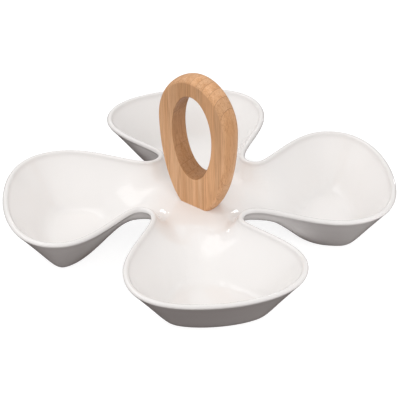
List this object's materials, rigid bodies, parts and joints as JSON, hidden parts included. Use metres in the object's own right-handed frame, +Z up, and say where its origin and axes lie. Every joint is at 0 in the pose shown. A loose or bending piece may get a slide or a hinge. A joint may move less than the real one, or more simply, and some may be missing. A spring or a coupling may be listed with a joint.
{
  "type": "chip and dip server",
  "caption": "Glazed dish of petal-shaped bowls that turn like a pinwheel round a low hub, with an upright oval ring handle of laminated bamboo screwed on from below.",
  "frame": {"origin": "middle of the dish on the table plane, at the bottom centre of the whole object's box", "axes": "+Z up through the hub and handle; the bowls point along +X, +Y, -X and -Y; the handle's wide face is turned 45 degrees about +Z, so that it faces between the -X and -Y bowls"},
  "size_m": [0.34, 0.34, 0.1553],
  "materials": {
    "glaze": "gloss warm white glaze",
    "bamboo": "satin oiled laminated bamboo",
    "insert_brass": "machined",
    "screw_steel": "bright stainless",
    "seal_silicone": "translucent silicone"
  },
  "bodies": {
    "server": {"dish": "glaze", "handle_strip_01": "bamboo", "handle_strip_02": "bamboo", "handle_strip_03": "bamboo", "handle_strip_04": "bamboo", "handle_strip_05": "bamboo", "handle_strip_06": "bamboo", "handle_strip_07": "bamboo", "handle_strip_08": "bamboo", "handle_strip_09": "bamboo", "handle_strip_10": "bamboo", "handle_strip_11": "bamboo", "handle_strip_12": "bamboo", "threaded_insert": "insert_brass"},
    "washers": {"steel_washer": "screw_steel", "seal_washer": "seal_silicone"},
    "screw": {"handle_screw": "screw_steel"}
  },
  "joints": [
    {"name": "screw_travel", "type": "slide", "parent": "server", "child": "washers", "axis": [0, 0, -1], "range_m": [0, 0.013]},
    {"name": "screw_turn", "type": "hinge", "parent": "washers", "child": "screw", "pos_m": [0, 0, 0.0198], "axis": [0, 0, -1], "range_deg": [0, 4680]}
  ],
  "couplings": [
    {"joint": "screw_turn", "follows": "screw_travel", "rad_per_m": 6283.2}
  ]
}
